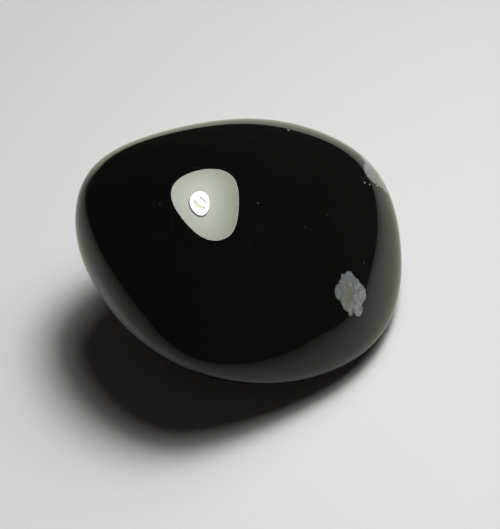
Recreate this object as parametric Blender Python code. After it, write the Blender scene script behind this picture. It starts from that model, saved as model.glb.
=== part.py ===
"""A tumbled obsidian stone: one closed solid, resting on its own small flat.

The stone is the convex body that tumbling leaves: broad worn facets whose edges have gone
round. Each facet is given by the way it faces and by how far it lies from the stone's heart,
and the surface blends them all with one exponent. The underside is cut level, which gives
the flat that the stone stands on.

Frame: metres, +Z up. The origin is the middle of the stone's footprint, on the surface that
it stands on, and +X runs along the stone's longest side.
"""
import math
from typing import NamedTuple

import bmesh
import bpy
from mathutils import Vector

MM = 0.001


class Facet(NamedTuple):
    """One worn facet of the stone."""

    heading: float  # degrees anticlockwise from +X, seen from above
    rise: float     # degrees above level; 90 faces straight up
    reach: float    # millimetres from the stone's heart


# Driving dimensions: the facets, from the top of the stone down to its foot.
CROWN = Facet(heading=269.5, rise=73, reach=12.5)
BACK_CROWN = Facet(heading=96, rise=72, reach=12.7)
BACK_RIGHT_SLOPE = Facet(heading=40, rise=60, reach=11.25)
RIGHT_SLOPE = Facet(heading=343.5, rise=53, reach=8.5)
RIGHT_SHOULDER = Facet(heading=347, rise=36.5, reach=9.6)
LEFT_SHOULDER = Facet(heading=182, rise=50, reach=17.1)
FRONT_SHOULDER = Facet(heading=249, rise=27.5, reach=14.8)
FRONT_RIGHT_SHOULDER = Facet(heading=302.5, rise=28, reach=9.7)
BACK_LEFT_FLANK = Facet(heading=113, rise=8, reach=12.6)
BACK_FLANK = Facet(heading=76.5, rise=10.5, reach=15.35)
BACK_RIGHT_FLANK = Facet(heading=31.5, rise=11.5, reach=16.75)
FRONT_RIGHT_FLANK = Facet(heading=329.5, rise=2.5, reach=13.15)
LEFT_FLANK = Facet(heading=206.5, rise=0, reach=15.85)
BACK_LEFT_UNDERSIDE = Facet(heading=153.5, rise=-25, reach=12.25)
BACK_UNDERSIDE = Facet(heading=78, rise=-46, reach=12.65)
RIGHT_UNDERSIDE = Facet(heading=11, rise=-27, reach=15.35)
LEFT_UNDERSIDE = Facet(heading=205.5, rise=-44.5, reach=10.15)
FRONT_UNDERSIDE = Facet(heading=235, rise=-54, reach=8.0)
FRONT_RIGHT_UNDERSIDE = Facet(heading=281, rise=-60.5, reach=9.5)
FOOT = Facet(heading=0, rise=-90, reach=6.23)

FACETS = (
    CROWN, BACK_CROWN,
    BACK_RIGHT_SLOPE, RIGHT_SLOPE,
    RIGHT_SHOULDER, LEFT_SHOULDER, FRONT_SHOULDER, FRONT_RIGHT_SHOULDER,
    BACK_LEFT_FLANK, BACK_FLANK, BACK_RIGHT_FLANK, FRONT_RIGHT_FLANK, LEFT_FLANK,
    BACK_LEFT_UNDERSIDE, BACK_UNDERSIDE, RIGHT_UNDERSIDE,
    LEFT_UNDERSIDE, FRONT_UNDERSIDE, FRONT_RIGHT_UNDERSIDE,
    FOOT,
)

EDGE_CRISPNESS = 9        # the blending exponent: 2 is an egg, 20 a cut stone
HEART_HEIGHT = 6.18 * MM  # the level cut lies this far below the heart
SPHERE_SUBDIVISIONS = 5   # 5120 triangles before the cut
EVENING_PASSES = 25       # how often the triangles are evened out over the surface
SNAP = 0.01 * MM          # corners this close to the cut are moved onto it

GLASS_COLOUR = (0.006, 0.006, 0.007, 1.0)
GLASS_ROUGHNESS = 0.03
GLASS_IOR = 1.49


def facing(facet: Facet) -> Vector:
    """Unit vector that the facet faces along."""
    heading, rise = math.radians(facet.heading), math.radians(facet.rise)
    return Vector((
        math.cos(rise) * math.cos(heading),
        math.cos(rise) * math.sin(heading),
        math.sin(rise),
    ))


FACINGS = [(facing(facet), facet.reach * MM) for facet in FACETS]


def surface_radius(direction: Vector) -> float:
    """Distance from the heart to the surface along a unit vector.

    A facet on its own would be met at reach / cos(angle). The power mean of all the facets
    follows the nearest one over its middle, and turns smoothly from one to the next.
    """
    total = 0.0
    for normal, reach in FACINGS:
        nearness = max(0.0, normal.dot(direction)) / reach
        total += nearness ** EDGE_CRISPNESS
    return total ** (-1.0 / EDGE_CRISPNESS)


def clear_scene() -> None:
    """Remove whatever the scene holds."""
    for thing in list(bpy.data.objects):
        bpy.data.objects.remove(thing, do_unlink=True)


def glass_material() -> bpy.types.Material:
    """Polished black volcanic glass."""
    material = bpy.data.materials.new("black_glass")
    material.use_nodes = True
    shader = material.node_tree.nodes["Principled BSDF"]
    shader.inputs["Base Color"].default_value = GLASS_COLOUR
    shader.inputs["Metallic"].default_value = 0.0
    shader.inputs["Roughness"].default_value = GLASS_ROUGHNESS
    shader.inputs["IOR"].default_value = GLASS_IOR
    material.diffuse_color = GLASS_COLOUR
    return material


def draw_out(body: bmesh.types.BMesh) -> None:
    """Put every corner on the surface, along its own direction from the heart."""
    for vert in body.verts:
        direction = vert.co.normalized()
        vert.co = direction * surface_radius(direction)


def worn_body() -> bmesh.types.BMesh:
    """A fine ball drawn out to the facets, with its heart at the origin.

    The stone's ends lie further from the heart than its sides, which would stretch their
    triangles, so the corners are evened out and drawn out again a few times.
    """
    body = bmesh.new()
    bmesh.ops.create_icosphere(body, subdivisions=SPHERE_SUBDIVISIONS, radius=1.0)
    draw_out(body)
    for _ in range(EVENING_PASSES):
        bmesh.ops.smooth_vert(
            body, verts=body.verts[:], factor=0.5,
            use_axis_x=True, use_axis_y=True, use_axis_z=True,
        )
        draw_out(body)
    return body


def cut_foot(body: bmesh.types.BMesh) -> None:
    """Cut the underside level, close it with one flat face and put that face at z = 0."""
    cut_height = -HEART_HEIGHT
    bmesh.ops.bisect_plane(
        body,
        geom=body.verts[:] + body.edges[:] + body.faces[:],
        dist=SNAP,
        plane_co=(0.0, 0.0, cut_height),
        plane_no=(0.0, 0.0, 1.0),
        clear_inner=True,
    )
    rim = [edge for edge in body.edges if edge.is_boundary]
    for edge in rim:
        for vert in edge.verts:
            vert.co.z = cut_height
    bmesh.ops.contextual_create(body, geom=rim)
    bmesh.ops.recalc_face_normals(body, faces=body.faces[:])
    bmesh.ops.translate(body, verts=body.verts[:], vec=(0.0, 0.0, HEART_HEIGHT))


def centre_on_footprint(body: bmesh.types.BMesh) -> None:
    """Move the stone sideways until its box is centred on the Z axis."""
    for axis in (0, 1):
        low = min(vert.co[axis] for vert in body.verts)
        high = max(vert.co[axis] for vert in body.verts)
        shift = Vector((0.0, 0.0, 0.0))
        shift[axis] = -(low + high) / 2.0
        bmesh.ops.translate(body, verts=body.verts[:], vec=shift)


def make_stone() -> bpy.types.Object:
    """The whole stone as one object."""
    body = worn_body()
    cut_foot(body)
    centre_on_footprint(body)
    mesh = bpy.data.meshes.new("obsidian_stone")
    body.to_mesh(mesh)
    body.free()
    mesh.shade_smooth()
    mesh.set_sharp_from_angle(angle=math.radians(40))
    mesh.materials.append(glass_material())
    stone = bpy.data.objects.new("obsidian_stone", mesh)
    bpy.context.scene.collection.objects.link(stone)
    return stone


clear_scene()
make_stone()
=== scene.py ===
"""Looks of a tumbled snowflake-obsidian stone.

The stone is one piece of black volcanic glass with a mirror polish. Its fine surface is grown by
Geometry Nodes from the same worn facets that the solid has, and its material lays in the pale
snowflakes, the pits and the hairline scratches of the tumbling drum.
"""
import logging
import math
from dataclasses import dataclass, field
from enum import Enum
from typing import Callable, NamedTuple, Sequence, Union

import bpy
from mathutils import Matrix, Vector


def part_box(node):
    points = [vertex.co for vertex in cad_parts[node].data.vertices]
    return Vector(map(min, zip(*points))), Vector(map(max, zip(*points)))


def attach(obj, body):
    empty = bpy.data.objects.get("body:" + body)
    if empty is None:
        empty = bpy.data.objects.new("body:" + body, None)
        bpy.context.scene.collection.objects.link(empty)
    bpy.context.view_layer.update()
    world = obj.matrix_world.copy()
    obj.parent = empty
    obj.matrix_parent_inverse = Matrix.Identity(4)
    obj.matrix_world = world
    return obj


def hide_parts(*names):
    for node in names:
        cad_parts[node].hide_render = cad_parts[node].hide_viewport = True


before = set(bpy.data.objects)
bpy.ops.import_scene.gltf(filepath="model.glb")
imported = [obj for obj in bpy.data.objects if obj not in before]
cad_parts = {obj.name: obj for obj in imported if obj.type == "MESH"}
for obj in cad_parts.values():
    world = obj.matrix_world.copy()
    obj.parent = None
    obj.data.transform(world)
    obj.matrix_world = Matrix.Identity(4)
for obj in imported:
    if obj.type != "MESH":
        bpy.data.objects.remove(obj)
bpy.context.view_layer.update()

LOG = logging.getLogger("obsidian_stone")
MM = 0.001
CAD_NODE = "obsidian_stone"
LEVEL = (1.0, 1.0, 0.0)
STROKE_CORE = 0.2
RAYS = ("camera", "diffuse", "glossy", "transmission", "volume_scatter", "shadow")

Colour = tuple[float, float, float]
Slope = tuple[float, float, float]
Range = tuple[float, float]
Lobe = tuple[float, float, float]  # across, up the slope, and radius, in mm
Feed = Union[bpy.types.NodeSocket, float, int, Sequence[float]]


def spot(x: float, y: float, z: float = 0.0) -> Vector:
    """A dataclass default: a place given in mm and held in metres."""
    return field(default_factory=lambda: Vector((x, y, z)) * MM)


# ---- The stone's form ----


def unit_vector(heading: float, rise: float) -> Vector:
    """Turn two angles into a direction.

    Args:
        heading: degrees anticlockwise from +X, seen from above.
        rise: degrees above level.

    Returns:
        The direction as a vector of length one.
    """
    turn, lift = math.radians(heading), math.radians(rise)
    return Vector((math.cos(lift) * math.cos(turn), math.cos(lift) * math.sin(turn), math.sin(lift)))


class Facet(NamedTuple):
    """One worn facet: the way it faces in degrees, and its distance from the heart in mm."""

    heading: float
    rise: float
    reach: float

    def facing(self) -> Vector:
        """Unit vector that the facet faces along."""
        return unit_vector(self.heading, self.rise)


class Place(NamedTuple):
    """A place on the surface: the direction, in degrees, in which the heart sees it."""

    heading: float
    rise: float


@dataclass(frozen=True)
class WornForm:
    """The facets that tumbling wore on the stone, and how they blend."""

    crispness: float = 9.0
    heart_height: float = 6.18 * MM
    facets: dict[str, Facet] = field(default_factory=lambda: {
        "Crown": Facet(269.5, 73, 12.5),
        "Back crown": Facet(96, 72, 12.7),
        "Back right slope": Facet(40, 60, 11.25),
        "Right slope": Facet(343.5, 53, 8.5),
        "Right shoulder": Facet(347, 36.5, 9.6),
        "Left shoulder": Facet(182, 50, 17.1),
        "Front shoulder": Facet(249, 27.5, 14.8),
        "Front right shoulder": Facet(302.5, 28, 9.7),
        "Back left flank": Facet(113, 8, 12.6),
        "Back flank": Facet(76.5, 10.5, 15.35),
        "Back right flank": Facet(31.5, 11.5, 16.75),
        "Front right flank": Facet(329.5, 2.5, 13.15),
        "Left flank": Facet(206.5, 0, 15.85),
        "Back left underside": Facet(153.5, -25, 12.25),
        "Back underside": Facet(78, -46, 12.65),
        "Right underside": Facet(11, -27, 15.35),
        "Left underside": Facet(205.5, -44.5, 10.15),
        "Front underside": Facet(235, -54, 8.0),
        "Front right underside": Facet(281, -60.5, 9.5),
        "Foot": Facet(0, -90, 6.23),
    })

    def surface(self, place: Place, heart: Vector = Vector()) -> tuple[Vector, Vector]:
        """Find a place on the surface.

        Args:
            place: the place.
            heart: where the stone's heart is, in metres.

        Returns:
            The point in metres, and the outward unit normal there.
        """
        direction = unit_vector(*place)
        total, slope = 0.0, Vector()
        for facet in self.facets.values():
            inverse_reach = 1.0 / (facet.reach * MM)
            nearness = max(0.0, facet.facing().dot(direction)) * inverse_reach
            total += nearness ** self.crispness
            slope += facet.facing() * (nearness ** (self.crispness - 1.0) * inverse_reach)
        return heart + direction * total ** (-1.0 / self.crispness), slope.normalized()


# ---- Node sketching ----


class Kind(Enum):
    """The two sorts of node tree."""

    GEOMETRY = "GeometryNodeTree"
    SHADER = "ShaderNodeTree"


KIND_OF = {float: "float", int: "int", Vector: "vector"}


class Sketch:
    """Adds nodes to one node tree, wiring each as it is added."""

    def __init__(self, tree: bpy.types.NodeTree) -> None:
        """Start on a tree.

        Args:
            tree: the geometry or shader tree that the nodes go in.
        """
        self.tree = tree

    @classmethod
    def group(cls, name: str, kind: Kind, inputs: dict[str, str], outputs: dict[str, str]) -> "Sketch":
        """Start a new node group with its interface made.

        Args:
            name: the group's name.
            kind: geometry or shader.
            inputs: socket name to kind of socket.
            outputs: socket name to kind of socket.

        Returns:
            A sketch of the group, whose input and output nodes are in `source` and `sink`.
        """
        tree = bpy.data.node_groups.new(name, kind.value)
        for in_out, sockets in (("INPUT", inputs), ("OUTPUT", outputs)):
            for label, form in sockets.items():
                socket_type = f"NodeSocket{form.title()}"
                tree.interface.new_socket(name=label, in_out=in_out, socket_type=socket_type)
        sketch = cls(tree)
        sketch.source = tree.nodes.new("NodeGroupInput").outputs
        sketch.sink = tree.nodes.new("NodeGroupOutput").inputs
        return sketch

    @classmethod
    def on(cls, owner: bpy.types.Material | bpy.types.World) -> "Sketch":
        """Start on the emptied tree of a material or a world.

        Args:
            owner: the material or world.

        Returns:
            The sketch.
        """
        owner.use_nodes = True
        owner.node_tree.nodes.clear()
        return cls(owner.node_tree)

    def feed(self, socket: bpy.types.NodeSocket, value: Feed) -> None:
        """Wire a socket, or set the constant on it.

        Args:
            socket: the input socket.
            value: another node's output, or a constant; a colour gets full alpha.
        """
        if isinstance(value, bpy.types.NodeSocket):
            self.tree.links.new(value, socket)
        else:
            socket.default_value = (*value, 1.0) if socket.type == "RGBA" else value

    def add(self, node_type: str, settings: dict[str, object] | None = None,
            **inputs: Feed) -> bpy.types.Node:
        """Add a node.

        Args:
            node_type: Blender's name for the node.
            settings: the node's own properties.
            **inputs: socket names, with _ for a space, and what feeds each.

        Returns:
            The new node.
        """
        node = self.tree.nodes.new(node_type)
        for name, value in (settings or {}).items():
            setattr(node, name, value)
        for name, value in inputs.items():
            self.feed(node.inputs[name.replace("_", " ")], value)
        return node

    def math(self, operation: str, *values: Feed, clamp: bool = False) -> bpy.types.NodeSocket:
        """Arithmetic on numbers.

        Args:
            operation: the Math node's operation.
            *values: one to three operands.
            clamp: whether the result is held between 0 and 1.

        Returns:
            The result's socket.
        """
        node = self.add("ShaderNodeMath", {"operation": operation, "use_clamp": clamp})
        for socket, value in zip(node.inputs, values):
            self.feed(socket, value)
        return node.outputs[0]

    def times(self, first: Feed, second: Feed) -> bpy.types.NodeSocket:
        """Multiply two numbers."""
        return self.math("MULTIPLY", first, second)

    def vector(self, operation: str, *values: Feed) -> bpy.types.NodeSocket:
        """Arithmetic on vectors.

        Args:
            operation: the Vector Math node's operation.
            *values: the operands; a scale's second is its factor.

        Returns:
            The result's socket, a number for lengths, distances and dot products.
        """
        node = self.add("ShaderNodeVectorMath", {"operation": operation})
        sockets = (node.inputs[0], node.inputs["Scale"]) if operation == "SCALE" else node.inputs
        for socket, value in zip(sockets, values):
            self.feed(socket, value)
        is_number = operation in ("LENGTH", "DISTANCE", "DOT_PRODUCT")
        return node.outputs["Value" if is_number else "Vector"]

    def dot(self, first: Feed, second: Feed) -> bpy.types.NodeSocket:
        """How far one vector reaches along another."""
        return self.vector("DOT_PRODUCT", first, second)

    def spread(self, value: Feed, low: float, high: float, to_low: float = 0.0,
               to_high: float = 1.0, smooth: bool = True) -> bpy.types.NodeSocket:
        """Map a number from one range to another, held at both ends.

        Args:
            value: the number.
            low: where the first range starts.
            high: where it ends.
            to_low: what low becomes.
            to_high: what high becomes.
            smooth: whether the change eases in and out.

        Returns:
            The result's socket.
        """
        easing = "SMOOTHSTEP" if smooth else "LINEAR"
        node = self.add("ShaderNodeMapRange", {"interpolation_type": easing},
                        Value=value, From_Min=low, From_Max=high, To_Min=to_low, To_Max=to_high)
        return node.outputs["Result"]

    def noise(self, vector: Feed, scale: float, detail: float = 1.0) -> bpy.types.NodeSocket:
        """Cloudy noise between about 0.2 and 0.8.

        Args:
            vector: where the noise is read.
            scale: blotches for each unit of the vector.
            detail: octaves of finer noise.

        Returns:
            The noise's socket.
        """
        return self.add("ShaderNodeTexNoise", Vector=vector, Scale=scale, Detail=detail).outputs[0]

    def blend(self, factor: Feed, first: Feed, second: Feed) -> bpy.types.NodeSocket:
        """Mix two colours.

        Args:
            factor: how much of the second shows.
            first: colour or its socket.
            second: colour or its socket.

        Returns:
            The mixed colour's socket.
        """
        node = self.add("ShaderNodeMix", {"data_type": "RGBA"}, Factor=factor)
        self.feed(node.inputs[6], first)
        self.feed(node.inputs[7], second)
        return node.outputs[2]

    def xyz(self, **parts: Feed) -> bpy.types.NodeSocket:
        """A vector made of the given X, Y and Z, with 0 for those left out."""
        return self.add("ShaderNodeCombineXYZ", **parts).outputs[0]

    def position(self) -> bpy.types.NodeSocket:
        """The shaded point's position in its object, in metres."""
        return self.add("ShaderNodeTexCoord").outputs["Object"]

    def corner(self) -> bpy.types.NodeSocket:
        """The position of each corner of a mesh."""
        return self.add("GeometryNodeInputPosition").outputs[0]

    def glow(self, colour: Feed, strength: Feed = 1.0) -> bpy.types.NodeSocket:
        """A shader that gives light of its own."""
        return self.add("ShaderNodeEmission", Color=colour, Strength=strength).outputs[0]

    def overlay(self, factor: Feed, under: Feed, over: Feed) -> bpy.types.NodeSocket:
        """Lay one shader over another.

        Args:
            factor: how much of the upper one shows.
            under: the lower one's socket.
            over: the upper one's socket.

        Returns:
            The mixed shader's socket.
        """
        node = self.add("ShaderNodeMixShader", Fac=factor)
        self.feed(node.inputs[1], under)
        self.feed(node.inputs[2], over)
        return node.outputs[0]

    def place(self, group: "Sketch", **inputs: Feed) -> bpy.types.bpy_prop_collection:
        """Place a node group.

        Args:
            group: the group to place.
            **inputs: socket names, with _ for a space, and what feeds each.

        Returns:
            Its outputs.
        """
        node_type = group.tree.bl_idname.replace("Tree", "Group")
        return self.add(node_type, {"node_tree": group.tree}, **inputs).outputs


def kinds_of(values: dict[str, Feed]) -> dict[str, str]:
    """The kind of socket that each named value needs."""
    return {name: KIND_OF[type(value)] for name, value in values.items()}


def flat(place: Range) -> Vector:
    """A level place given in mm, as a vector in metres."""
    return Vector((*place, 0.0)) * MM


def in_scene(name: str, data: bpy.types.ID, *rays: str) -> bpy.types.Object:
    """Put a new object in the scene.

    Args:
        name: the object's name.
        data: its mesh, light or camera.
        *rays: the only kinds of ray that meet it. If none is named, they all do.

    Returns:
        The object.
    """
    thing = bpy.data.objects.new(name, data)
    bpy.context.scene.collection.objects.link(thing)
    for kind in RAYS:
        setattr(thing, f"visible_{kind}", not rays or kind in rays)
    return thing


def stroke_group() -> Sketch:
    """Build the group that draws a straight soft stroke, or a speck if its reach is nought.

    Returns:
        The group, which merges each stroke with the others.
    """
    group = Sketch.group(
        "Stroke", Kind.SHADER,
        {"Position": "vector", "Start": "vector", "Reach": "vector", "Half width": "float",
         "Core": "float", "Strength": "float", "Others": "float"},
        {"Mask": "float"},
    )
    reach = group.source["Reach"]
    offset = group.vector("SUBTRACT", group.source["Position"], group.source["Start"])
    along = group.math("DIVIDE", group.dot(offset, reach), group.dot(reach, reach), clamp=True)
    away = group.vector("DISTANCE", offset, group.vector("SCALE", reach, along))
    inside = group.math("DIVIDE", away, group.source["Half width"])
    mask = group.times(group.spread(inside, 1.0, group.source["Core"]), group.source["Strength"])
    group.feed(group.sink["Mask"], group.math("MAXIMUM", mask, group.source["Others"]))
    return group


# ---- Finish: black glass with snowflakes ----


@dataclass(frozen=True)
class Snowflake:
    """A patch of pale crystals in the glass, polished flush with it.

    Its middle is at `place`, its outline joins the lobes, and its crystals run out from `heart`,
    which is in mm across and up. The lean makes it paler up the slope, for each mm.
    """

    name: str
    place: Place
    lobes: tuple[Lobe, ...]
    heart: tuple[float, float]
    seed: float
    paleness: float = 1.0
    lean: float = 0.0


class Speck(NamedTuple):
    """A tiny pit, or a flat fleck: where it is, its radius in mm, and how pale it is."""

    place: Place
    radius: float
    paleness: float
    is_pit: bool = True


class Hairline(NamedTuple):
    """A short fine scratch: its two ends, half its width in mm, and how pale it is."""

    start: Place
    end: Place
    half_width: float
    paleness: float


SNOWFLAKES = (
    Snowflake(
        "Front snowflake", Place(330.5, 8.9),
        (
            (0.15, 0.00, 1.50), (0.92, 0.80, 0.86), (0.95, -0.75, 0.98), (-0.65, 0.95, 0.88),
            (-0.65, -0.55, 0.92), (0.20, 1.10, 0.72), (0.45, -1.15, 0.70), (1.10, 0.05, 0.80),
            (-0.75, 0.10, 0.74), (-0.20, -1.75, 0.65), (-1.17, -1.27, 0.32), (0.42, 1.62, 0.33),
            (-0.10, 1.30, 0.40), (-0.15, 1.55, 0.33), (0.66, 1.50, 0.28),
        ),
        heart=(-0.05, 0.05), seed=3.0, paleness=1.06, lean=-0.08,
    ),
    Snowflake(
        "Rim snowflake", Place(40.7, 9.4),
        (
            (-0.75, 0.45, 0.95), (0.10, 0.10, 0.75), (0.75, 0.10, 0.80), (1.40, 0.30, 0.60),
            (-0.90, -0.90, 1.00), (0.20, -0.90, 1.20), (-0.90, -1.80, 1.00), (-0.50, -2.40, 0.80),
            (-1.40, 0.08, 0.48), (-1.90, -0.33, 0.14),
        ),
        heart=(-0.3, -0.6), seed=11.0, paleness=0.92,
    ),
    Snowflake(
        "Back snowflake", Place(138.0, 2.0),
        (
            (0.00, 0.00, 0.95), (0.80, 0.35, 0.55), (-0.60, 0.65, 0.60), (-0.70, -0.50, 0.50),
            (0.35, -0.75, 0.45),
        ),
        heart=(0.1, 0.0), seed=19.0,
    ),
    Snowflake(
        "Left snowflake", Place(180.0, -20.0),
        (
            (0.00, 0.00, 0.60), (0.45, 0.30, 0.40), (-0.40, 0.25, 0.38), (0.05, -0.50, 0.35),
        ),
        heart=(0.0, 0.1), seed=27.0,
    ),
    Snowflake(
        "Low snowflake", Place(62.0, -16.0),
        (
            (0.00, 0.00, 0.45), (0.35, -0.15, 0.32), (-0.25, 0.30, 0.30),
        ),
        heart=(0.0, 0.0), seed=35.0,
    ),
)

SPECKS = (
    Speck(Place(33.7, 15.0), 0.10, 0.95),
    Speck(Place(33.2, 12.4), 0.10, 0.95),
    Speck(Place(33.6, 8.2), 0.11, 0.95),
    Speck(Place(352.2, 9.6), 0.15, 0.08, is_pit=False),
    Speck(Place(286.1, 82.7), 0.08, 0.07),
    Speck(Place(198.6, 53.2), 0.07, 0.05),
    Speck(Place(342.7, 54.8), 0.06, 0.04),
    Speck(Place(8.8, 40.1), 0.06, 0.03),
    Speck(Place(150.6, 75.2), 0.06, 0.06),
    Speck(Place(71.6, 36.7), 0.15, 0.12),
)

HAIRLINES = (
    Hairline(Place(167.1, 64.2), Place(166.2, 68.8), 0.05, 0.030),
    # A faint pale line below and to the right of the lamp's reflection, drawn with the scratches'
    # stroke.
    Hairline(Place(268.4, 62.8), Place(261.9, 55.9), 0.05, 0.020),
    Hairline(Place(68.9, 34.2), Place(63.4, 31.4), 0.06, 0.050),
    Hairline(Place(36.2, 16.6), Place(34.3, 15.3), 0.07, 0.070),
)


@dataclass(frozen=True)
class CrystalLook:
    """How a snowflake's crystals look: colours, lengths in mm, and blotches for each mm."""

    blue: Colour = (0.160, 0.180, 0.193)
    green: Colour = (0.165, 0.185, 0.163)
    pale: Colour = (0.345, 0.350, 0.320)
    warm_heart: Colour = (0.180, 0.175, 0.132)
    tint_scale: float = 1.1
    tint_range: Range = (0.40, 0.60)
    lobe_merging: float = 0.12
    wobble_scale: float = 1.6
    wobble: float = 0.30
    teeth_scale: float = 5.0
    teeth: float = 0.36
    soft_edge: float = 0.10
    thickness: float = 2.5
    spokes: float = 2.6
    change_along_spoke: float = 0.9
    fibre_scale: float = 2.2
    mottle_scale: float = 2.4
    grain: float = 0.7
    pale_range: Range = (0.55, 1.02)
    heart_squeeze: float = 0.6
    heart_range: Range = (0.85, 0.05)

    def lobe_group(self) -> Sketch:
        """Build the group for one lobe.

        Returns:
            The group. It gives the depth inside the lobe, merged with that inside the others.
        """
        group = Sketch.group(
            "Snowflake lobe", Kind.SHADER,
            {"Local": "vector", "Centre": "vector", "Radius": "float", "Others": "float"},
            {"Depth": "float"},
        )
        level = group.vector("MULTIPLY", group.source["Local"], LEVEL)
        away = group.vector("DISTANCE", level, group.source["Centre"])
        depth = group.math("SUBTRACT", group.source["Radius"], away)
        group.feed(group.sink["Depth"],
                   group.math("SMOOTH_MAX", depth, group.source["Others"], self.lobe_merging))
        return group

    def snowflake_group(self) -> Sketch:
        """Build the group for feathered crystals inside a ragged edge.

        Returns:
            The group.
        """
        group = Sketch.group(
            "Snowflake", Kind.SHADER,
            {"Local": "vector", "Heart": "vector", "Depth": "float", "Seed": "float",
             "Paleness": "float", "Lean": "float"},
            {"Mask": "float", "Colour": "color"},
        )
        local, seed = group.source["Local"], group.source["Seed"]
        shifted = group.vector("ADD", local, group.xyz(Z=seed))
        # Ragged outline: broad wobble, then fine teeth.
        wobble = group.math("MULTIPLY_ADD", group.noise(shifted, self.wobble_scale),
                            self.wobble, -self.wobble / 2.0)
        teeth = group.math("MULTIPLY_ADD", group.noise(shifted, self.teeth_scale, 3.0),
                           self.teeth, -self.teeth / 2.0)
        depth = group.math("ADD", group.math("ADD", group.source["Depth"], wobble), teeth)
        above = group.dot(local, (0.0, 0.0, 1.0))
        near = group.math("LESS_THAN", group.math("ABSOLUTE", above), self.thickness)
        mask = group.times(group.spread(depth, 0.0, self.soft_edge), near)
        # Fibres that run out from the heart: noise that changes fast round it and slowly along.
        spoke = group.vector("SUBTRACT", group.vector("MULTIPLY", local, LEVEL), group.source["Heart"])
        along = group.math("MULTIPLY_ADD", group.vector("LENGTH", spoke), self.change_along_spoke, seed)
        polar = group.vector("ADD", group.vector("SCALE", group.vector("NORMALIZE", spoke), self.spokes),
                             group.xyz(Z=along))
        fibre = group.noise(polar, self.fibre_scale, 3.0)
        mottle = group.noise(shifted, self.mottle_scale, 3.0)
        tint = group.blend(group.spread(group.noise(shifted, self.tint_scale), *self.tint_range),
                           self.blue, self.green)
        up = group.dot(local, (0.0, 1.0, 0.0))
        brightness = group.math("MULTIPLY_ADD", up, group.source["Lean"],
                                group.times(fibre, self.grain))
        brightness = group.math("MULTIPLY_ADD", mottle, self.grain, brightness)
        colour = group.blend(group.spread(brightness, *self.pale_range), tint, self.pale)
        # The heart is longer along the diagonal than across it.
        diagonal = group.times(group.dot(spoke, (0.707, 0.707, 0.0)), self.heart_squeeze)
        across = group.dot(spoke, (0.707, -0.707, 0.0))
        from_heart = group.vector("LENGTH", group.xyz(X=diagonal, Y=across))
        colour = group.blend(group.spread(from_heart, *self.heart_range), colour, self.warm_heart)
        group.feed(group.sink["Mask"], mask)
        group.feed(group.sink["Colour"], group.vector("SCALE", colour, group.source["Paleness"]))
        return group


@dataclass(frozen=True)
class ScratchLook:
    """How the drum's faint scratches look: which ways they run, and how broken they are."""

    turns: tuple[Slope, ...] = ((0.3, 0.2, 0.5), (1.1, 0.4, 1.9), (0.2, 1.3, 2.8))
    stretch: Slope = (2600.0, 160.0, 160.0)
    half_width: float = 0.006
    gap_scale: float = 450.0
    gap_range: Range = (0.52, 0.62)
    roughness: float = 0.10
    paleness: float = 0.010

    def group(self) -> Sketch:
        """Build the group for broken hairlines that all run one way.

        Returns:
            The group.
        """
        group = Sketch.group(
            "Hairline scratches", Kind.SHADER,
            {"Position": "vector", "Heading": "vector", "Stretch": "vector"},
            {"Mask": "float"},
        )
        turned = group.add("ShaderNodeMapping", {"vector_type": "POINT"},
                           Vector=group.source["Position"], Rotation=group.source["Heading"],
                           Scale=group.source["Stretch"]).outputs[0]
        line = group.math("ABSOLUTE", group.math("SUBTRACT", group.noise(turned, 1.0), 0.5))
        broken = group.spread(group.noise(group.source["Position"], self.gap_scale),
                              *self.gap_range)
        group.feed(group.sink["Mask"], group.times(group.spread(line, self.half_width, 0.0), broken))
        return group


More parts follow.
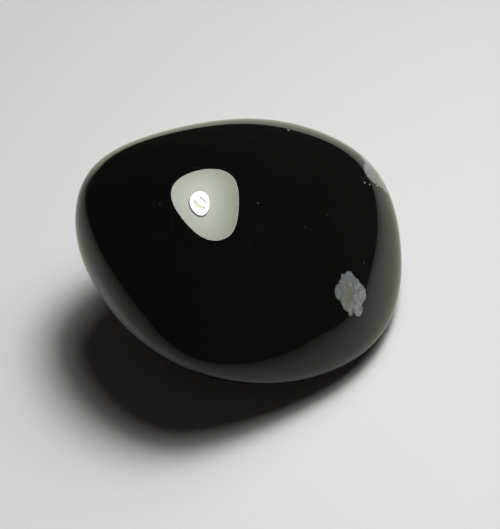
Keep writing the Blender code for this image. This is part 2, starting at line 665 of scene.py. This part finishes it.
@dataclass(frozen=True)
class PolishedGlass:
    """The finish of the whole stone: mirror-polished black glass."""

    black: Colour = (0.0015, 0.0015, 0.0014)
    roughness: float = 0.02
    snowflake_roughness: float = 0.14
    refractive_index: float = 1.49
    pit_depth: float = 0.04 * MM
    speck_grey: Colour = (0.45, 0.45, 0.43)
    speck_core: float = 0.4
    crystals: CrystalLook = CrystalLook()
    scratches: ScratchLook = ScratchLook()
    snowflakes: tuple[Snowflake, ...] = SNOWFLAKES
    specks: tuple[Speck, ...] = SPECKS
    hairlines: tuple[Hairline, ...] = HAIRLINES

    def material(self, form: WornForm, heart: Vector) -> bpy.types.Material:
        """Build the material.

        Args:
            form: the stone's form, which says where a place on the surface is.
            heart: where the stone's heart is, in metres.

        Returns:
            The finished material.
        """
        material = bpy.data.materials.new("polished_black_glass")
        material.use_nodes = True
        sketch = Sketch(material.node_tree)
        shader = material.node_tree.nodes["Principled BSDF"]
        groups = self.crystals.lobe_group(), self.crystals.snowflake_group()
        stroke, scratches = stroke_group(), self.scratches.group()
        position = sketch.position()

        colour: Feed = self.black
        rough: Feed = self.roughness
        for flake in self.snowflakes:
            mask, tint = self._snowflake(sketch, groups, flake, form.surface(flake.place, heart))
            colour = sketch.blend(mask, colour, tint)
            rough = sketch.math("MAXIMUM", rough, sketch.times(mask, self.snowflake_roughness))

        pale: Feed = 0.0
        pits: Feed = 0.0
        for speck in self.specks:
            disc = {"Position": position, "Start": form.surface(speck.place, heart)[0],
                    "Half width": speck.radius * MM, "Core": self.speck_core}
            pale = sketch.place(stroke, Strength=speck.paleness, Others=pale, **disc)[0]
            if speck.is_pit:
                pits = sketch.place(stroke, Strength=1.0, Others=pits, **disc)[0]
        for line in self.hairlines:
            start, end = (form.surface(place, heart)[0] for place in (line.start, line.end))
            pale = sketch.place(stroke, Position=position, Start=start, Reach=end - start,
                                Half_width=line.half_width * MM, Core=STROKE_CORE,
                                Strength=line.paleness, Others=pale)[0]

        scratched: Feed = 0.0
        for turn in self.scratches.turns:
            layer = sketch.place(scratches, Position=position, Heading=turn,
                                 Stretch=self.scratches.stretch)[0]
            scratched = sketch.math("MAXIMUM", scratched, layer)
        rough = sketch.math("MAXIMUM", rough, sketch.times(scratched, self.scratches.roughness))
        pale = sketch.math("MAXIMUM", pale, sketch.times(scratched, self.scratches.paleness))

        bump = sketch.add("ShaderNodeBump", {"invert": True}, Strength=1.0, Distance=self.pit_depth,
                          Height=pits)
        sketch.feed(shader.inputs["Base Color"], sketch.blend(pale, colour, self.speck_grey))
        sketch.feed(shader.inputs["Roughness"], rough)
        sketch.feed(shader.inputs["Normal"], bump.outputs["Normal"])
        sketch.feed(shader.inputs["IOR"], self.refractive_index)
        return material

    @staticmethod
    def _snowflake(sketch: Sketch, groups: tuple[Sketch, Sketch], flake: Snowflake,
                   middle: tuple[Vector, Vector]) -> tuple[Feed, Feed]:
        """Lay one snowflake into the glass.

        Args:
            sketch: the material's nodes.
            groups: the groups for one lobe and for the crystals.
            flake: the snowflake.
            middle: the point at its middle, and the surface's normal there.

        Returns:
            The sockets of its mask and its colour.
        """
        point, normal = middle
        level = Vector((0.0, 0.0, 1.0)).cross(normal).normalized()
        axes = Matrix((level, normal.cross(level), normal)).transposed()
        local = sketch.add("ShaderNodeMapping", {"vector_type": "TEXTURE", "label": flake.name},
                           Vector=sketch.position(), Location=point, Rotation=axes.to_euler(),
                           Scale=(MM, MM, MM)).outputs[0]
        depth: Feed = -1.0
        for across, up, radius in flake.lobes:
            depth = sketch.place(groups[0], Local=local, Centre=(across, up, 0.0), Radius=radius,
                                 Others=depth)[0]
        drawn = sketch.place(groups[1], Local=local, Depth=depth, Heart=(*flake.heart, 0.0),
                             Seed=flake.seed, Paleness=flake.paleness, Lean=flake.lean)
        return drawn["Mask"], drawn["Colour"]


# ---- The stone ----


class Dent(NamedTuple):
    """A shallow hollow left by an old chip: where it is, and its radius and depth in mm."""

    place: Place
    radius: float
    depth: float


@dataclass
class ObsidianStone:
    """The whole stone as one fine mesh, grown from its facets by Geometry Nodes."""

    form: WornForm = field(default_factory=WornForm)
    finish: PolishedGlass = field(default_factory=PolishedGlass)
    ball_subdivisions: int = 5
    evening_passes: int = 25
    fineness: int = 2
    snugness: float = 0.9999
    rim_dent: Dent = Dent(Place(35.9, 12.4), 1.0, 0.02)

    def _facet_values(self) -> dict[str, Feed]:
        """Say how the facets lie and blend.

        Returns:
            The name and the value of each socket that carries it.
        """
        values: dict[str, Feed] = {"Crispness": self.form.crispness}
        for name, facet in self.form.facets.items():
            values[f"{name} facing"] = facet.facing()
            values[f"{name} reach"] = facet.reach
        return values

    def _values(self) -> dict[str, Feed]:
        """Say all that the stone's tree needs to know, apart from its material.

        Returns:
            The name and the value of each input.
        """
        return {
            "Ball subdivisions": self.ball_subdivisions, "Evening passes": self.evening_passes,
            "Fineness": self.fineness, "Heart height": self.form.heart_height,
            "Dent centre": self.form.surface(self.rim_dent.place)[0],
            "Dent radius": self.rim_dent.radius * MM, "Dent depth": self.rim_dent.depth * MM,
            **self._facet_values(),
        }

    def _draw_out(self) -> Sketch:
        """Build the group that puts each corner on the surface, along its way from the heart.

        Returns:
            The group.
        """
        group = Sketch.group("Draw out to facets", Kind.GEOMETRY,
                             {"Mesh": "geometry", **kinds_of(self._facet_values())},
                             {"Mesh": "geometry"})
        source = group.source
        direction = group.vector("NORMALIZE", group.corner())
        total: Feed = 0.0
        for name in self.form.facets:
            facing = group.dot(direction, source[f"{name} facing"])
            nearness = group.math("DIVIDE", group.math("MAXIMUM", facing, 0.0), source[f"{name} reach"])
            total = group.math("ADD", total, group.math("POWER", nearness, source["Crispness"]))
        root = group.math("DIVIDE", -1.0, source["Crispness"])
        radius = group.times(group.math("POWER", total, root), MM)
        moved = group.add("GeometryNodeSetPosition", Geometry=source["Mesh"],
                          Position=group.vector("SCALE", direction, radius))
        group.feed(group.sink["Mesh"], moved.outputs[0])
        return group

    def _tree(self) -> Sketch:
        """Build the tree that grows the stone, with its heart at the origin.

        Returns:
            The tree.
        """
        inputs = {"Material": "material", **kinds_of(self._values())}
        tree = Sketch.group("Worn stone", Kind.GEOMETRY, inputs, {"Stone": "geometry"})
        source = tree.source
        facets = {name.replace(" ", "_"): source[name] for name in self._facet_values()}
        draw_out = self._draw_out()

        ball = tree.add("GeometryNodeMeshIcoSphere", Radius=1.0,
                        Subdivisions=source["Ball subdivisions"]).outputs["Mesh"]
        mesh = tree.place(draw_out, Mesh=ball, **facets)[0]
        # Even the corners out over the surface, a pass at a time.
        start, end = tree.add("GeometryNodeRepeatInput"), tree.add("GeometryNodeRepeatOutput")
        start.pair_with_output(end)
        tree.feed(start.inputs["Iterations"], source["Evening passes"])
        tree.feed(start.inputs["Geometry"], mesh)
        blur = tree.add("GeometryNodeBlurAttribute", {"data_type": "FLOAT_VECTOR"}, Iterations=1)
        tree.feed([socket for socket in blur.inputs if socket.enabled][0], tree.corner())
        blurred = [socket for socket in blur.outputs if socket.enabled][0]
        moved = tree.add("GeometryNodeSetPosition", Geometry=start.outputs["Geometry"],
                         Position=blurred).outputs[0]
        tree.feed(end.inputs["Geometry"], tree.place(draw_out, Mesh=moved, **facets)[0])
        # Make the mesh finer, press the dent, and bring what lies under the foot up to its level.
        mesh = tree.add("GeometryNodeSubdivideMesh", Mesh=end.outputs["Geometry"],
                        Level=source["Fineness"]).outputs[0]
        mesh = tree.place(draw_out, Mesh=mesh, **facets)[0]
        away = tree.vector("DISTANCE", tree.corner(), source["Dent centre"])
        hollow = tree.spread(tree.math("DIVIDE", away, source["Dent radius"]), 1.0, 0.0)
        depth = tree.times(tree.times(hollow, -1.0), source["Dent depth"])
        inward = tree.vector("SCALE", tree.vector("NORMALIZE", source["Dent centre"]), depth)
        mesh = tree.add("GeometryNodeSetPosition", Geometry=mesh, Offset=inward).outputs[0]
        place = tree.add("ShaderNodeSeparateXYZ", Vector=tree.corner()).outputs
        floor = tree.times(source["Heart height"], -1.0)
        lifted = tree.xyz(X=place[0], Y=place[1], Z=tree.math("MAXIMUM", place[2], floor))
        mesh = tree.add("GeometryNodeSetPosition", Geometry=mesh, Position=lifted).outputs[0]
        smooth = tree.add("GeometryNodeSetShadeSmooth", Geometry=mesh).outputs[0]
        real = tree.add("GeometryNodeRealizeInstances", Geometry=smooth).outputs[0]
        dressed = tree.add("GeometryNodeSetMaterial", Geometry=real,
                           Material=source["Material"]).outputs[0]
        tree.feed(tree.sink["Stone"], dressed)
        return tree

    def build(self) -> bpy.types.Object:
        """Grow the stone, stand it in its CAD box and dress it.

        Returns:
            The finished piece.
        """
        tree = self._tree()
        scaffold = in_scene("scaffold", bpy.data.meshes.new("scaffold"))
        modifier = scaffold.modifiers.new("Worn stone", "NODES")
        modifier.node_group = tree.tree
        values = self._values()
        for item in tree.tree.interface.items_tree:
            if item.name in values:
                modifier[item.identifier] = values[item.name]
        evaluated = scaffold.evaluated_get(bpy.context.evaluated_depsgraph_get())
        mesh = bpy.data.meshes.new_from_object(evaluated)
        bpy.data.objects.remove(scaffold, do_unlink=True)

        heart = self._stand_in_box(mesh)
        mesh.materials.clear()
        mesh.materials.append(self.finish.material(self.form, heart))
        mesh.name = "polished_stone"
        return in_scene("polished_stone", mesh)

    def _stand_in_box(self, mesh: bpy.types.Mesh) -> Vector:
        """Stand the stone in its CAD box, which its finer surface may pass by a hair.

        Args:
            mesh: the stone with its heart at the origin.

        Returns:
            Where the heart is now, in metres.
        """
        low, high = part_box(CAD_NODE)
        corners = [vertex.co for vertex in mesh.vertices]
        least, most = (Vector([pick(part) for part in zip(*corners)]) for pick in (min, max))
        scale = Vector([min(1.0, self.snugness * (high[axis] - low[axis]) / (most[axis] - least[axis]))
                        for axis in range(3)])
        heart = (Vector(low) + Vector(high) - scale * (least + most)) / 2.0
        heart.z = low[2] - scale.z * least.z
        mesh.transform(Matrix.Translation(heart) @ Matrix.Diagonal((*scale, 1.0)))
        return heart


# ---- Stage: paper floor, lamp, room and camera ----


class Streak(NamedTuple):
    """A straight stroke of light: both ends and half its width in mm, its colour and strength."""

    start: Range
    end: Range
    half_width: float
    colour: Colour
    strength: float = 1.0


@dataclass
class PaleFloor:
    """A plain pale sheet. The stone mirrors it as far as the sheet's edge, with painted reflections and
    painted light laid on what the mirror sees.
    """

    sheet_radius: float = 120 * MM
    floor_radius: float = 2.0
    fade_start: float = 60 * MM
    fade_end: float = 150 * MM
    paper: Colour = (0.80, 0.80, 0.785)
    # Painted shade: the paper's colour is darker towards the lamp and lighter away from it, to even its
    # light out.
    tilt_of_light: Slope = (0.1, -5.7, 0.0)
    far_glow: Colour = (0.70, 0.70, 0.69)
    # Painted reflection: a pool of light painted into the paper's colour only where the stone mirrors
    # it, brightest round this point behind the stone.
    painted_pool_centre: Vector = spot(6.0, 38.0)
    painted_pool_radius: float = 81 * MM
    painted_pool_peak: float = 1.24
    brightest: float = 1.2
    # Painted reflection: tints that the paper takes only where the stone mirrors it, neutral in front
    # and yellower beside.
    painted_reflection_tint_front: Colour = (1.0, 1.0, 1.02)
    painted_reflection_tint_side: Colour = (1.0, 1.01, 0.885)
    front_spread: Range = (0.5, 0.85)
    # Painted reflection: the sheet behind the stone glows where only the stone's mirror sees it.
    behind: Vector = spot(10.0, 120.0)
    behind_start: float = 105 * MM
    behind_full: float = 78 * MM
    behind_end: float = 165 * MM
    painted_glow_behind: Colour = (0.93, 0.955, 0.80)
    behind_lean: Slope = (-4.2, 0.0, 0.0)
    # Painted reflection: the sheet on the stone's shaded side glows in the mirror, with painted shadow
    # near the foot.
    shaded_side: Vector = field(default_factory=lambda: unit_vector(216.0, 0.0))
    shaded_spread: Range = (0.77, 0.90)
    painted_glow_on_shaded_side: Colour = (0.64, 0.64, 0.625)
    shade_start: float = 12.5 * MM
    shade_end: float = 25.0 * MM
    shaded_reach: float = 33.0 * MM
    # Painted reflection: a glowing streak on the sheet that only the stone's mirror sees.
    painted_reflection_streaks: tuple[Streak, ...] = (
        Streak((-75.0, 140.0), (-265.0, 382.0), 70.0, (0.70, 0.75, 0.50)),
    )

    def build(self) -> bpy.types.Object:
        """Lay the floor.

        Returns:
            The floor.
        """
        mesh = bpy.data.meshes.new("floor")
        half = self.floor_radius
        mesh.from_pydata([(-half, -half, 0), (half, -half, 0), (half, half, 0), (-half, half, 0)],
                         [], [(0, 1, 2, 3)])
        mesh.materials.append(self._material())
        return in_scene("floor", mesh)

    def _material(self) -> bpy.types.Material:
        """Build the material: lit paper near the stone, which turns into an even glow far from it, with
        painted reflections laid over it for mirror rays.

        Returns:
            The material.
        """
        material = bpy.data.materials.new("pale_paper")
        sketch = Sketch.on(material)
        position = sketch.position()
        away = sketch.vector("LENGTH", position)
        rays = sketch.add("ShaderNodeLightPath").outputs
        is_mirrored = rays["Is Glossy Ray"]
        tint = self._tint(sketch, position, is_mirrored)
        seen = sketch.add("ShaderNodeBsdfDiffuse", Color=tint).outputs[0]
        far = sketch.times(sketch.spread(away, self.fade_start, self.fade_end), rays["Is Camera Ray"])
        seen = sketch.overlay(far, seen, sketch.glow(self.far_glow))
        beyond = sketch.times(sketch.math("GREATER_THAN", away, self.sheet_radius), is_mirrored)
        seen = sketch.overlay(beyond, seen, sketch.add("ShaderNodeBsdfTransparent").outputs[0])
        # Painted reflections: glowing patches of paper that only mirror rays see.
        for inside, glow in self._mirrored(sketch, position, away):
            seen = sketch.overlay(sketch.times(inside, is_mirrored), seen, glow)
        sketch.add("ShaderNodeOutputMaterial", Surface=seen)
        return material

    def _mirrored(self, sketch: Sketch, position: Feed, away: Feed) -> list[tuple[Feed, Feed]]:
        """Draw the parts of the sheet that the stone mirrors otherwise than the camera sees them, as
        painted reflections that glow for mirror rays only.

        Args:
            sketch: the material's nodes.
            position: the position socket.
            away: distance from the stone's middle.

        Returns:
            How much of each part shows, and its shader.
        """
        # Painted reflection: the bright end of the sheet behind the stone glows for mirror rays, lighter
        # towards the left.
        behind = sketch.spread(sketch.vector("DISTANCE", position, self.behind),
                               self.behind_start, self.behind_full)
        behind = sketch.times(behind, sketch.math("LESS_THAN", away, self.behind_end))
        lean = sketch.math("ADD", sketch.dot(position, self.behind_lean), 1.0)
        # The shaded side as the stone mirrors it: a painted reflection of lit paper, with painted shadow
        # only close to the foot.
        facing = sketch.dot(sketch.vector("NORMALIZE", position), self.shaded_side)
        shaded = sketch.times(sketch.spread(facing, *self.shaded_spread),
                              sketch.spread(away, self.shaded_reach, self.shade_end))
        painted_shadow_fade = sketch.spread(away, self.shade_start, self.shade_end)
        parts = [(behind, sketch.glow(self.painted_glow_behind, lean)),
                 (shaded, sketch.glow(self.painted_glow_on_shaded_side, painted_shadow_fade))]
        group = stroke_group()
        for streak in self.painted_reflection_streaks:
            mask = sketch.place(group, Position=position, Start=flat(streak.start), Strength=1.0,
                                Reach=flat(streak.end) - flat(streak.start), Core=STROKE_CORE,
                                Half_width=streak.half_width * MM)[0]
            parts.append((mask, sketch.glow(streak.colour)))
        return parts

    def _tint(self, sketch: Sketch, position: Feed, is_mirrored: Feed) -> Feed:
        """Give the paper the colour that evens the lamplight out over it, with painted shade from the
        tilt, and a painted pool of light and painted tints where the stone mirrors it.

        Args:
            sketch: the material's nodes.
            position: the position socket.
            is_mirrored: 1 where the stone mirrors the paper.

        Returns:
            The colour's socket.
        """
        # Painted shade: darker where the lamp lights the paper more, so that the sheet looks evenly lit.
        evened = sketch.math("EXPONENT", sketch.dot(position, self.tilt_of_light))
        # Painted light: where the stone mirrors the paper, its colour holds a painted pool of light
        # round a point behind the stone.
        from_pool = sketch.math("DIVIDE", sketch.vector("DISTANCE", position, self.painted_pool_centre),
                                self.painted_pool_radius)
        pool = sketch.math("DIVIDE", self.painted_pool_peak,
                           sketch.math("MULTIPLY_ADD", from_pool, from_pool, 1.0))
        mirrored = sketch.math("MULTIPLY_ADD", sketch.math("SUBTRACT", pool, 1.0), is_mirrored, 1.0)
        factor = sketch.math("MINIMUM", sketch.times(evened, mirrored), self.brightest)
        # Painted reflection: the mirrored paper is tinted by the way it lies from the stone.
        ahead = sketch.dot(sketch.vector("NORMALIZE", position), (0.0, -1.0, 0.0))
        tint = sketch.blend(sketch.spread(ahead, *self.front_spread), self.painted_reflection_tint_side,
                            self.painted_reflection_tint_front)
        tint = sketch.blend(is_mirrored, (1.0, 1.0, 1.0), tint)
        return sketch.vector("SCALE", sketch.vector("MULTIPLY", tint, self.paper), factor)


class SoftLight(NamedTuple):
    """A soft round light: its name, its place and radius in mm, and its power in watts."""

    name: str
    place: Slope
    radius: float
    watts: float

    def hang(self) -> None:
        """Add the light, which points at the stone and which mirrors don't see."""
        light = bpy.data.lights.new(self.name, "AREA")
        light.shape = "DISK"
        light.size = 2.0 * self.radius * MM
        light.energy = self.watts
        lamp = in_scene(self.name, light, "diffuse", "transmission", "shadow")
        lamp.location = Vector(self.place) * MM
        lamp.rotation_euler = (-lamp.location).to_track_quat("-Z", "Y").to_euler()


@dataclass
class HoodedLamp:
    """A lamp over the stone: a pale hood with a bright bulb deep inside it."""

    opening: Vector = spot(53.6, 67.1, 141.5)
    opening_radius: float = 79.6 * MM
    bulb: Vector = spot(36.3, 68.4, 191.6)
    bulb_radius: float = 29.4 * MM
    collar_offset: Vector = spot(-0.9, -2.4, 2.0)
    collar_radius: float = 31.3 * MM
    bulge: float = 8 * MM
    shoulder: float = 0.7
    lip: float = 1.2 * MM
    crown_radius: float = 45 * MM
    crown_height: float = 75 * MM
    crown_dome: Range = (1.05, 1.06)
    pinhole: float = 0.5 * MM
    sides: int = 96
    tint_at_bulb: Colour = (0.965, 1.0, 0.91)
    tint_at_rim: Colour = (0.958, 1.0, 0.83)
    lip_tint: Colour = (0.96, 1.0, 0.98)
    glow_at_bulb: float = 13.6
    glow_at_rim: float = 7.2
    glow_start: float = 20 * MM
    glow_end: float = 100 * MM
    lip_glow: float = 11.5
    bulb_glow: float = 34.0
    collar_glow: float = 3.6
    bulb_marks: tuple[Streak, ...] = (
        Streak((-17.3, -0.7), (-9.8, -10.2), 6.5, (0.97, 0.98, 0.93), 17.0),
        Streak((-8.3, -11.7), (1.2, -12.7), 8.0, (1.0, 0.97, 0.76), 21.0),
        Streak((6.5, -12.4), (12.7, -12.7), 4.0, (0.97, 0.97, 0.95), 15.0),
        Streak((-1.9, 9.4), (14.7, 0.2), 3.2, (0.97, 0.93, 1.0), 7.0),
    )
    lights: tuple[SoftLight, ...] = (
        SoftLight("bulb_light", (38.9, 77.8, 190.4), 34.0, 0.227),
        SoftLight("hood_light", (42.9, 67.2, 156.0), 70.0, 0.167),
    )

    def build(self) -> list[bpy.types.Object]:
        """Hang the lamp.

        Returns:
            The mirrored hood, lip, bulb and collar, which are stage.
        """
        rim, bulb = self.opening_radius, self.bulb_radius
        low_dome, high_dome = (self.crown_height * part for part in self.crown_dome)
        shapes = (
            ("lamp_hood", self.opening, self._hood_glow, (
                (rim - self.lip, 0.0), (self.crown_radius, self.crown_height),
                (self.crown_radius / 2.0, low_dome), (self.pinhole, high_dome),
            )),
            ("lamp_lip", self.opening, lambda sketch: (self.lip_tint, self.lip_glow), (
                (rim, 0.0), (rim - self.lip, 0.0),
            )),
            ("lamp_bulb", self.bulb, self._bulb_glow, (
                (bulb, 0.0), (bulb * self.shoulder, -self.bulge / 2.0), (self.pinhole, -self.bulge),
            )),
            ("lamp_collar", self.bulb + self.collar_offset,
             lambda sketch: (self.tint_at_bulb, self.collar_glow), (
                (self.collar_radius, 0.0), (self.pinhole, 0.0),
            )),
        )
        for light in self.lights:
            light.hang()
        return [self._turned(*shape) for shape in shapes]

    def _turned(self, name: str, centre: Vector, glow: Callable[[Sketch], tuple[Feed, Feed]],
                profile: Sequence[Range]) -> bpy.types.Object:
        """Turn a profile round an upright line, as a glowing shape that only mirrors see.

        Args:
            name: the object's name.
            centre: the profile's origin.
            glow: gives the colour and the strength of its light.
            profile: pairs of radius and height, in metres.

        Returns:
            The turned object.
        """
        turns = [2.0 * math.pi * side / self.sides for side in range(self.sides)]
        points = [centre + Vector((radius * math.cos(turn), radius * math.sin(turn), height))
                  for radius, height in profile for turn in turns]
        faces = []
        for ring in range(len(profile) - 1):
            for side in range(self.sides):
                after = (side + 1) % self.sides
                low, high = ring * self.sides, (ring + 1) * self.sides
                faces.append((low + side, low + after, high + after, high + side))
        mesh = bpy.data.meshes.new(name)
        mesh.from_pydata(points, [], faces)
        mesh.materials.append(bpy.data.materials.new(name))
        sketch = Sketch.on(mesh.materials[0])
        sketch.add("ShaderNodeOutputMaterial", Surface=sketch.glow(*glow(sketch)))
        return in_scene(name, mesh, "glossy")

    def _hood_glow(self, sketch: Sketch) -> tuple[Feed, Feed]:
        """Draw the hood's light, which falls off away from the bulb as the stone sees it.

        Args:
            sketch: the hood material's nodes.

        Returns:
            The sockets of its colour and its strength.
        """
        position = sketch.position()
        height = sketch.add("ShaderNodeSeparateXYZ", Vector=position).outputs[2]
        in_opening = sketch.vector("SCALE", position, sketch.math("DIVIDE", self.opening.z, height))
        under_bulb = self.bulb * (self.opening.z / self.bulb.z)
        away = sketch.vector("DISTANCE", in_opening, under_bulb)
        outward = sketch.spread(away, self.glow_start, self.glow_end, smooth=False)
        colour = sketch.blend(outward, self.tint_at_bulb, self.tint_at_rim)
        strength = sketch.spread(outward, 0.0, 1.0, self.glow_at_bulb, self.glow_at_rim, smooth=False)
        return colour, strength

    def _bulb_glow(self, sketch: Sketch) -> tuple[Feed, Feed]:
        """Draw the bulb's light, with the darker marks on it.

        Args:
            sketch: the bulb material's nodes.

        Returns:
            The sockets of its colour and its strength.
        """
        group = stroke_group()
        position = sketch.vector("MULTIPLY", sketch.position(), LEVEL)
        middle = self.bulb * Vector(LEVEL)
        colour: Feed = self.tint_at_bulb
        strength: Feed = self.bulb_glow
        for mark in self.bulb_marks:
            start = middle + flat(mark.start)
            reach = middle + flat(mark.end) - start
            mask = sketch.place(group, Position=position, Start=start, Reach=reach, Core=STROKE_CORE,
                                Half_width=mark.half_width * MM, Strength=1.0)[0]
            colour = sketch.blend(mask, colour, mark.colour)
            strength = sketch.spread(mask, 0.0, 1.0, strength, mark.strength, smooth=False)
        return colour, strength


@dataclass
class DimRoom:
    """The room: pale behind the stone for the camera, and dim in its mirror surface."""

    backdrop: Colour = (0.70, 0.70, 0.69)
    mirrored: Colour = (0.055, 0.055, 0.050)
    lighter_side: Slope = (0.22, -0.28, 0.0)
    ambient: Colour = (0.0165, 0.0140, 0.0130)

    def build(self) -> None:
        """Set the world up."""
        world = bpy.data.worlds.new("dim_room")
        sketch = Sketch.on(world)
        rays = sketch.add("ShaderNodeLightPath").outputs
        direction = sketch.add("ShaderNodeTexCoord").outputs["Generated"]
        lean = sketch.math("ADD", sketch.dot(direction, self.lighter_side), 1.0)
        mirrored = sketch.vector("SCALE", self.mirrored, lean)
        colour = sketch.blend(rays["Is Glossy Ray"], self.ambient, mirrored)
        colour = sketch.blend(rays["Is Camera Ray"], colour, self.backdrop)
        background = sketch.add("ShaderNodeBackground", Color=colour).outputs[0]
        sketch.add("ShaderNodeOutputWorld", Surface=background)
        bpy.context.scene.world = world


@dataclass
class Viewpoint:
    """The camera: how it looks down on the stone, and from how far."""

    aim: Vector = spot(0.73, -1.11, 7.0)
    elevation: float = 51.0
    distance: float = 200 * MM
    view_height: float = 48.4 * MM
    sensor: float = 36.0

    def build(self) -> None:
        """Set the camera up and make it the scene's."""
        camera = bpy.data.cameras.new("camera")
        camera.sensor_width = self.sensor
        camera.lens = self.sensor * self.distance / self.view_height
        camera.clip_start = 10 * MM
        viewer = in_scene("camera", camera)
        back = unit_vector(270.0, self.elevation)
        viewer.location = self.aim + back * self.distance
        viewer.rotation_euler = (-back).to_track_quat("-Z", "Y").to_euler()
        bpy.context.scene.camera = viewer


def main() -> None:
    """Build the stone and its stage, and report each piece."""
    logging.basicConfig(level=logging.INFO, format="%(message)s")
    bpy.context.scene.view_settings.view_transform = "Standard"
    Viewpoint().build()
    DimRoom().build()
    PaleFloor().build()
    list(HoodedLamp().build())

    stone = ObsidianStone().build()
    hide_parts(CAD_NODE)
    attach(stone, "root")
    LOG.info("%s: %d faces", stone.name, len(stone.data.polygons))


if __name__ == "__main__":
    main()
